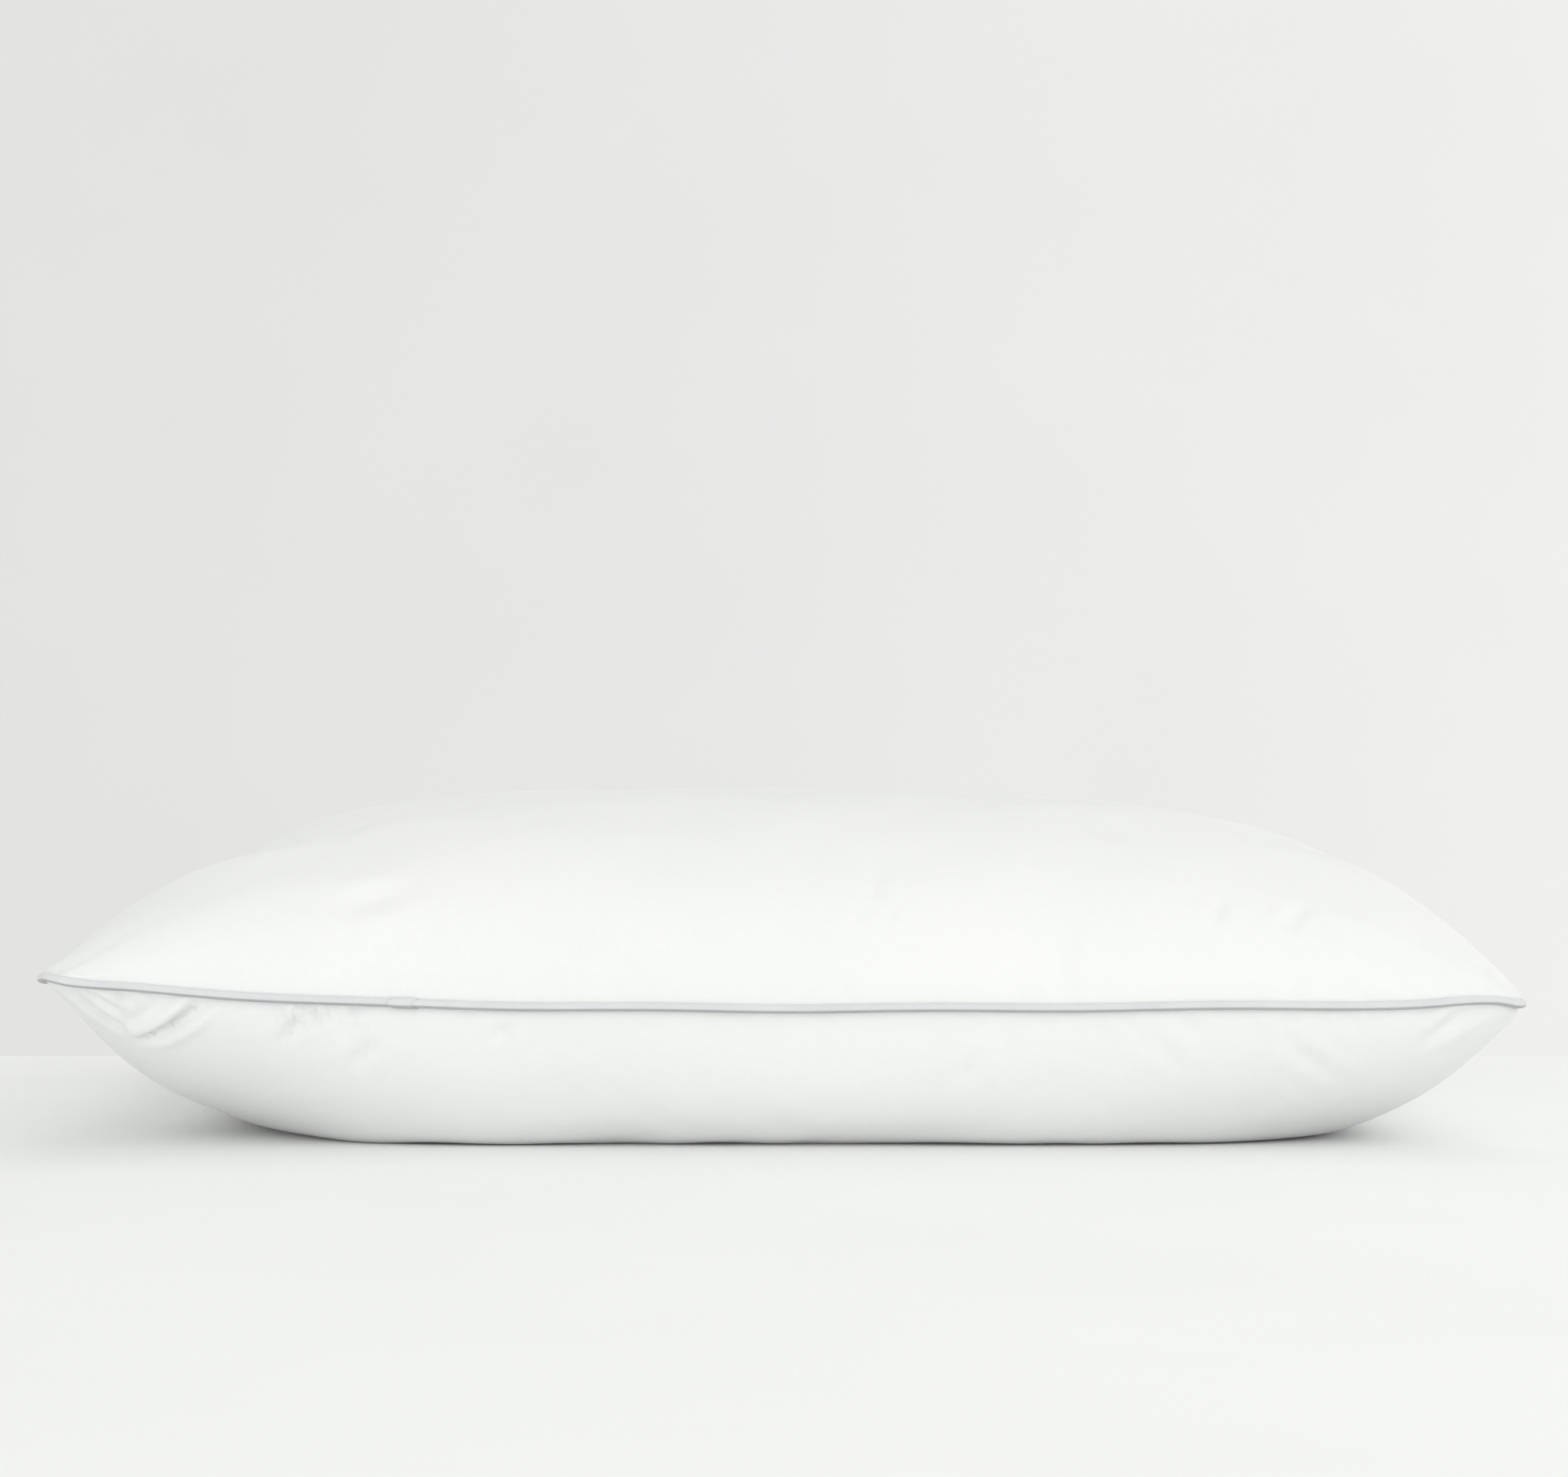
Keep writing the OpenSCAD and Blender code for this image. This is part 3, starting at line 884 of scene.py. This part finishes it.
# ------------------------------------------------------------------ the filling
def filling():
    """A lumpy mass of fibre, a little smaller than the panels all round."""
    cells_x, cells_y, inset, edge, room = 130, 100, 0.015, 0.001, 0.0042
    u, v = grid(cells_x, cells_y)
    x, y = plan(u, v, inset)
    over, under = fullness(u, v, 1), fullness(u, v, -1)
    grain = random_waves(x, y, 60, 0.012, 0.05)
    grain *= 0.0011 / np.abs(grain).max()
    base = seam_height(u, v)
    upper = base + edge + (LOFT - SEAM_H - room) * over + lumps(x, y) * over + grain * over
    lower = base - edge - (SAG - room) * under + lumps(x, y, LUMPS_LOW) * under
    lower = landed(lower) + 0.0016 + np.abs(grain) * under
    on_edge = edge_mask(u.shape)
    upper[on_edge] = base[on_edge]
    points, faces, _, _ = joined(np.stack([x, y, upper], -1), np.stack([x, y, lower], -1))
    made = make_mesh("fibre_filling", points, faces)
    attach(made, "pillow")
    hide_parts("fibre_fill")
    return made


fill = filling()


# ------------------------------------------------------------------ the label
LABEL_W, LABEL_L, RIBBON = 0.03, 0.042, 0.00022
LABEL_GAP = 0.00042  # half the room between its two layers
BEND = 0.48  # share of the ribbon's length before the fold, and after it


def care_label():
    """A blank ribbon folded double, hanging from the rear seam by its two ends."""
    low_corner, high_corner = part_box("care_label")
    middle_x = (low_corner.x + high_corner.x) / 2
    hinge_y = (low_corner.y + high_corner.y) / 2
    hinge_z = low_corner.z + LABEL_L
    rows, columns = 34, 25

    def centre(t):
        """Centreline of the ribbon: down the outer layer, round the fold, up the inner one."""
        if BEND <= t <= 1 - BEND:
            angle = math.pi * (t - BEND) / (1 - 2 * BEND)
            drop = LABEL_L - LABEL_GAP + LABEL_GAP * 0.6 * math.sin(angle)
            return LABEL_GAP * 0.4 * math.cos(angle), -drop
        down = min(t, 1 - t) / BEND
        side, bow = (1, 0.0011) if t < BEND else (-1, 0.0004)
        apart = LABEL_GAP * (0.4 + 0.6 * math.sin(math.pi * down))
        return side * apart + bow * math.sin(math.pi * down) ** 2, -down * (LABEL_L - LABEL_GAP)

    straight = list(np.linspace(0, BEND, rows))
    bend = list(np.linspace(BEND, 1 - BEND, 9))[1:-1]
    steps = straight + bend + [1 - t for t in straight[::-1]]
    line = np.array([centre(t) for t in steps])
    ahead = np.gradient(line, axis=0)
    ahead /= np.linalg.norm(ahead, axis=1, keepdims=True)
    across = np.stack([-ahead[:, 1], ahead[:, 0]], -1)
    outer, inner = line + across * RIBBON / 2, line - across * RIBBON / 2
    section = np.concatenate([outer, inner[::-1]])
    points, uv = [], []
    for x in np.linspace(-LABEL_W / 2, LABEL_W / 2, columns):
        for y, z in section:
            curl = 0.00035 * (2 * x / LABEL_W) ** 2 * (z / LABEL_L) ** 2
            points.append((middle_x + x, hinge_y + y + curl, hinge_z + z))
            uv.append((x, z))
    faces = tube_faces(columns, len(section)) + strip_ends(columns, len(section))
    made = make_mesh("ribbon_label", points, faces, uv)
    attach(made, "label")
    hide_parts("care_label")
    return made


label = care_label()


# ------------------------------------------------------------------ materials
def new_material(name):
    material = bpy.data.materials.new(name)
    material.use_nodes = True
    nodes, links = material.node_tree.nodes, material.node_tree.links
    return material, nodes, links, nodes["Principled BSDF"]


def math_node(nodes, links, operation, first, second=None):
    node = nodes.new("ShaderNodeMath")
    node.operation = operation
    for socket, value in zip(node.inputs, (first, second)):
        if value is None:
            continue
        if isinstance(value, (int, float)):
            socket.default_value = value
        else:
            links.new(value, socket)
    return node.outputs[0]


def noise(nodes, links, vector, scale, detail=4.0, roughness=0.55):
    node = nodes.new("ShaderNodeTexNoise")
    node.inputs["Scale"].default_value = scale
    node.inputs["Detail"].default_value = detail
    node.inputs["Roughness"].default_value = roughness
    links.new(vector, node.inputs["Vector"])
    return node.outputs["Fac"]


def ramp(nodes, links, value, stops):
    node = nodes.new("ShaderNodeValToRGB")
    elements = node.color_ramp.elements
    while len(elements) < len(stops):
        elements.new(0.5)
    for element, (place, colour) in zip(elements, stops):
        element.position = place
        element.color = (*colour, 1)
    links.new(value, node.inputs["Fac"])
    return node.outputs["Color"]


def map_range(nodes, links, value, source, target, smooth=False):
    """A value brought from the range source to the range target."""
    node = nodes.new("ShaderNodeMapRange")
    if smooth:
        node.interpolation_type = "SMOOTHSTEP"
    for name, number in zip(("From Min", "From Max", "To Min", "To Max"), (*source, *target)):
        node.inputs[name].default_value = number
    links.new(value, node.inputs["Value"])
    return node.outputs[0]


def scaled(nodes, links, colour, share):
    """A colour made lighter or darker by a share that varies."""
    node = nodes.new("ShaderNodeVectorMath")
    node.operation = "SCALE"
    links.new(colour, node.inputs[0])
    links.new(share, node.inputs["Scale"])
    return node.outputs[0]


def bump(nodes, links, height, strength, distance, before=None):
    node = nodes.new("ShaderNodeBump")
    node.inputs["Strength"].default_value = strength
    node.inputs["Distance"].default_value = distance
    links.new(height, node.inputs["Height"])
    if before is not None:
        links.new(before, node.inputs["Normal"])
    return node.outputs["Normal"]


def weave_height(nodes, links, vector, pitch_x, pitch_y, slant=0.0):
    """Threads that pass over and under each other. With slant, they run as a twill's diagonals."""
    split = nodes.new("ShaderNodeSeparateXYZ")
    links.new(vector, split.inputs[0])
    x, y = split.outputs[0], split.outputs[1]
    if slant:
        y = math_node(nodes, links, "ADD", y, math_node(nodes, links, "MULTIPLY", x, slant))
    warp = math_node(nodes, links, "SINE", math_node(nodes, links, "MULTIPLY", x, 2 * math.pi / pitch_x))
    weft = math_node(nodes, links, "SINE", math_node(nodes, links, "MULTIPLY", y, 2 * math.pi / pitch_y))
    return math_node(nodes, links, "MULTIPLY", warp, weft)


def fabric(name, tones, roughness, sheen, pitch, depth, scale=(9.0, 260.0), slant=0.0, uv=True):
    """Cloth of three slightly uneven tones, with soft fuzz and a fine sheen.

    pitch and depth are those of the weave, and scale those of its clouds of tone and its fuzz.
    """
    material, nodes, links, shader = new_material(name)
    coords = nodes.new("ShaderNodeTexCoord")
    cloud = noise(nodes, links, coords.outputs["Object"], scale[0])
    fuzz = noise(nodes, links, coords.outputs["Object"], scale[1], 3.0, 0.6)
    mixed = math_node(nodes, links, "ADD", math_node(nodes, links, "MULTIPLY", cloud, 0.75),
                      math_node(nodes, links, "MULTIPLY", fuzz, 0.25))
    colour = ramp(nodes, links, mixed, list(zip((0.36, 0.5, 0.64), tones)))
    links.new(colour, shader.inputs["Base Color"])
    shader.inputs["Sheen Weight"].default_value = sheen
    shader.inputs["Sheen Roughness"].default_value = 0.45
    shader.inputs["Specular IOR Level"].default_value = 0.3
    links.new(map_range(nodes, links, fuzz, (0, 1), roughness), shader.inputs["Roughness"])
    if uv:
        layer = nodes.new("ShaderNodeUVMap")
        layer.uv_map = "weave"
        vector = layer.outputs[0]
    else:
        vector = coords.outputs["Object"]
    threads = weave_height(nodes, links, vector, *pitch, slant)
    soft = bump(nodes, links, fuzz, 0.25, 0.0002)
    links.new(bump(nodes, links, threads, 0.5, depth, soft), shader.inputs["Normal"])
    return material


cotton = fabric(
    "white_cotton",
    [(0.843, 0.85, 0.85), (0.857, 0.863, 0.862), (0.868, 0.872, 0.871)],
    roughness=(0.78, 0.92), sheen=0.12, pitch=(0.0006, 0.0006), depth=0.00004,
)
satin = fabric(
    "silver_satin",
    [(0.68, 0.7, 0.71), (0.71, 0.728, 0.738), (0.74, 0.752, 0.76)],
    roughness=(0.36, 0.5), sheen=0.2, pitch=(0.00045, 0.05), depth=0.00003, scale=(30.0, 400.0),
)


def painted_shade_underside(material, share, high, low):
    """Painted shade under the piping: the strip's lower side is made a darker grey, from height high down
    to low in radii of the piping, to stand for the shadow line beneath it.
    """
    nodes, links = material.node_tree.nodes, material.node_tree.links
    shader = nodes["Principled BSDF"]
    colour = shader.inputs["Base Color"].links[0].from_socket
    layer = nodes.new("ShaderNodeUVMap")
    layer.uv_map = "weave"
    split = nodes.new("ShaderNodeSeparateXYZ")
    links.new(layer.outputs[0], split.inputs[0])
    # painted shade: the strip's colour is scaled down to share on its lower side, where the shadow under
    # the piping falls
    tone = map_range(nodes, links, split.outputs[1], (low, high), (share, 1), smooth=True)
    links.new(scaled(nodes, links, colour, tone), shader.inputs["Base Color"])


# painted shade: a darker grey on the satin's underside stands for the shadow line under the piping
painted_shade_underside(satin, share=0.6, high=-0.16, low=-0.48)
thread = fabric(
    "sewing_thread",
    [(0.8, 0.81, 0.81), (0.85, 0.86, 0.86), (0.88, 0.89, 0.89)],
    roughness=(0.45, 0.6), sheen=0.15, pitch=(0.00035, 0.00035), depth=0.00004,
    scale=(60.0, 900.0), slant=1.0, uv=False,
)
core = fabric(
    "cotton_cord",
    [(0.74, 0.7, 0.62), (0.8, 0.77, 0.69), (0.84, 0.81, 0.74)],
    roughness=(0.8, 0.95), sheen=0.2, pitch=(0.0006, 0.0006), depth=0.00006,
    scale=(60.0, 900.0), slant=1.0, uv=False,
)
fibre = fabric(
    "polyester_fibre",
    [(0.82, 0.82, 0.81), (0.87, 0.87, 0.86), (0.92, 0.92, 0.91)],
    roughness=(0.7, 0.95), sheen=0.45, pitch=(0.0021, 0.0013), depth=0.0003,
    scale=(26.0, 520.0), slant=0.7, uv=False,
)
ribbon = fabric(
    "label_ribbon",
    [(0.84, 0.845, 0.84), (0.88, 0.885, 0.88), (0.91, 0.91, 0.905)],
    roughness=(0.4, 0.55), sheen=0.2, pitch=(0.0005, 0.0003), depth=0.00003, scale=(40.0, 700.0),
)

for piece, material in (
    (top_panel, cotton), (bottom_panel, cotton), (piping, satin), (join, satin), (cord, core),
    (stitches, thread), (overlock, thread), (closing, thread), (fill, fibre), (label, ribbon),
):
    piece.data.materials.append(material)


# ------------------------------------------------------------------ floor, backdrop and light
FLOOR_BACK, FLOOR_FRONT, FLOOR_HALF, FLOOR_THICK = 0.338, -5.0, 4.0, 0.04


def floor():
    corners = [
        (x, y, z)
        for z in (-FLOOR_THICK, 0)
        for x, y in ((-FLOOR_HALF, FLOOR_FRONT), (FLOOR_HALF, FLOOR_FRONT),
                     (FLOOR_HALF, FLOOR_BACK), (-FLOOR_HALF, FLOOR_BACK))
    ]
    faces = [[3, 2, 1, 0], [4, 5, 6, 7]] + [[k, (k + 1) % 4, (k + 1) % 4 + 4, k + 4] for k in range(4)]
    made = make_mesh("floor", corners, faces)
    made.data.shade_flat()
    material, nodes, links, shader = new_material("pale_floor")
    coords = nodes.new("ShaderNodeTexCoord")
    colour = ramp(nodes, links, noise(nodes, links, coords.outputs["Object"], 5.0),
                  [(0.35, (0.915, 0.92, 0.915)), (0.65, (0.93, 0.935, 0.93))])
    links.new(colour, shader.inputs["Base Color"])
    shader.inputs["Roughness"].default_value = 0.75
    made.data.materials.append(material)


def backdrop():
    """A plain pale wall far away, with painted shade: a little darker on the left, away from the light on
    the right.
    """
    world = bpy.data.worlds.new("backdrop")
    world.use_nodes = True
    scene.world = world
    nodes, links = world.node_tree.nodes, world.node_tree.links
    coords = nodes.new("ShaderNodeTexCoord")
    split = nodes.new("ShaderNodeSeparateXYZ")
    links.new(coords.outputs["Generated"], split.inputs[0])
    across = map_range(nodes, links, split.outputs[0], (-0.19, 0.19), (0, 1))
    # painted shade: the wall's tone darkens towards the left, where less light falls
    tone = ramp(nodes, links, across, [
        (0.0, (0.765, 0.773, 0.752)), (0.5, (0.806, 0.812, 0.8)), (1.0, (0.868, 0.875, 0.86)),
    ])
    cloud = noise(nodes, links, coords.outputs["Generated"], 14.0)
    mottle = map_range(nodes, links, cloud, (0, 1), (0.975, 1.025))
    links.new(scaled(nodes, links, tone, mottle), nodes["Background"].inputs["Color"])


def soft_light(name, place, target, size, power):
    data = bpy.data.lights.new(name, "AREA")
    data.shape = "RECTANGLE"
    data.size, data.size_y = size
    data.energy = power
    made = bpy.data.objects.new(name, data)
    made.location = place
    made.rotation_euler = (Vector(target) - Vector(place)).to_track_quat("-Z", "Y").to_euler()
    scene.collection.objects.link(made)


floor()
backdrop()
soft_light("key", (1.5, -0.9, 0.85), (0.1, 0, 0.02), (0.9, 0.8), 3.2)
soft_light("fill", (-1.2, -2.9, 0.22), (-0.03, 0, 0.05), (2.4, 0.4), 16.0)
soft_light("front", (0.2, -2.6, 1.1), (0.02, -0.1, 0.05), (2.6, 0.6), 5.5)
soft_light("above", (0.4, 0.5, 2.1), (0, 0, 0.1), (1.6, 1.2), 2.8)
soft_light("rim", (1.5, 0.35, 0.22), (0.25, -0.1, 0.04), (0.5, 0.3), 1.8)
scene.view_settings.view_transform = "Standard"
